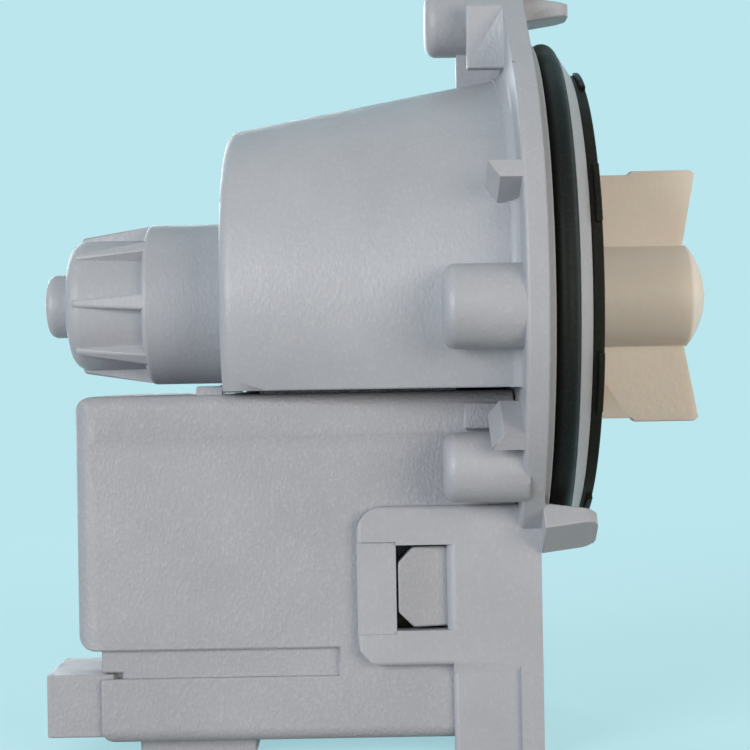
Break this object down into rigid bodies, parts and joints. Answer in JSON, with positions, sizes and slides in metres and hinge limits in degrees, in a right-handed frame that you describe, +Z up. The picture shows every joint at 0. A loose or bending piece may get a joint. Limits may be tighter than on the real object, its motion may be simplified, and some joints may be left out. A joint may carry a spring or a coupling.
{
  "type": "washer drain pump",
  "caption": "Drain pump with a synchronous motor: tapered motor cover over a coil box, hooked flange with O-ring spigot, and a paddle impeller with free play on its shaft.",
  "frame": {"origin": "rotor axis at the front face of the mounting flange", "axes": "+X along the rotor axis towards the impeller, +Z up away from the coil box, +Y away from the terminal side"},
  "size_m": [0.1036, 0.0832, 0.118],
  "materials": {
    "body_plastic": "satin moulded",
    "coil_plastic": "fine spark texture",
    "black_plastic": "satin moulded",
    "seal_rubber": "smooth",
    "impeller_plastic": "milky gloss",
    "terminal_brass": "tinned",
    "core_steel": "laminated",
    "shaft_steel": "ground",
    "bobbin_plastic": "satin",
    "winding_copper": "enamelled copper",
    "wrap_tape": "tape",
    "cutout_body": "satin",
    "bush_carbon": "carbon",
    "magnet_ferrite": "ground ferrite",
    "dog_plastic": "satin",
    "washer_plastic": "satin"
  },
  "bodies": {
    "housing": {"pump_body": "body_plastic", "rotor_can": "body_plastic", "seal_plate": "black_plastic", "o_ring_seal": "seal_rubber", "coil_housing": "coil_plastic", "terminal_block": "coil_plastic", "line_terminal": "terminal_brass", "neutral_terminal": "terminal_brass", "stator_leg_near": "core_steel", "stator_leg_far": "core_steel", "stator_yoke": "core_steel", "core_rivets": "shaft_steel", "coil_bobbin": "bobbin_plastic", "coil_winding": "winding_copper", "winding_wrap": "wrap_tape", "thermal_cutout": "cutout_body", "coil_leads": "winding_copper", "rear_bush": "bush_carbon", "rear_bush_mount": "seal_rubber", "front_bush": "bush_carbon", "front_bush_mount": "seal_rubber", "shaft_lip_seal": "seal_rubber"},
    "rotor": {"rotor_shaft": "shaft_steel", "rotor_magnet": "magnet_ferrite", "magnet_carrier": "washer_plastic", "rear_thrust_washer": "washer_plastic", "front_thrust_washer": "washer_plastic", "drive_dog": "dog_plastic"},
    "impeller": {"impeller": "impeller_plastic", "impeller_back_cap": "impeller_plastic", "impeller_dampers": "seal_rubber"}
  },
  "joints": [
    {"name": "rotor_spin", "type": "hinge", "parent": "housing", "child": "rotor", "pos_m": [0, 0, 0], "axis": [1, 0, 0], "continuous": true},
    {"name": "impeller_play", "type": "hinge", "parent": "rotor", "child": "impeller", "pos_m": [0.015, 0, 0], "axis": [1, 0, 0], "range_deg": [-117, 117]}
  ]
}
